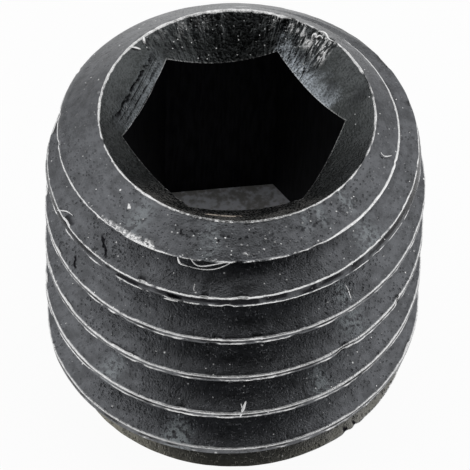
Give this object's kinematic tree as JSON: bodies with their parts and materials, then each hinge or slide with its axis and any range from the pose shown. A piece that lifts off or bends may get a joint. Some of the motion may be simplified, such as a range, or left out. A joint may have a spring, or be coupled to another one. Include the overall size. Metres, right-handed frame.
{
  "type": "hex socket set screw",
  "caption": "Short headless screw threaded over its whole length, with a countersunk hexagon socket in one end and a chamfered flat point at the other, in blackened steel.",
  "frame": {"origin": "centre of the flat point, on the surface that the screw stands on", "axes": "+Z along the axis from the point to the socket, -Y towards the side that the picture shows"},
  "size_m": [0.008, 0.008, 0.008],
  "materials": {
    "blackened_steel": "black oxide, satin, worn bright along the thread crests and the rim"
  },
  "bodies": {
    "root": {"set_screw": "blackened_steel"}
  },
  "joints": []
}
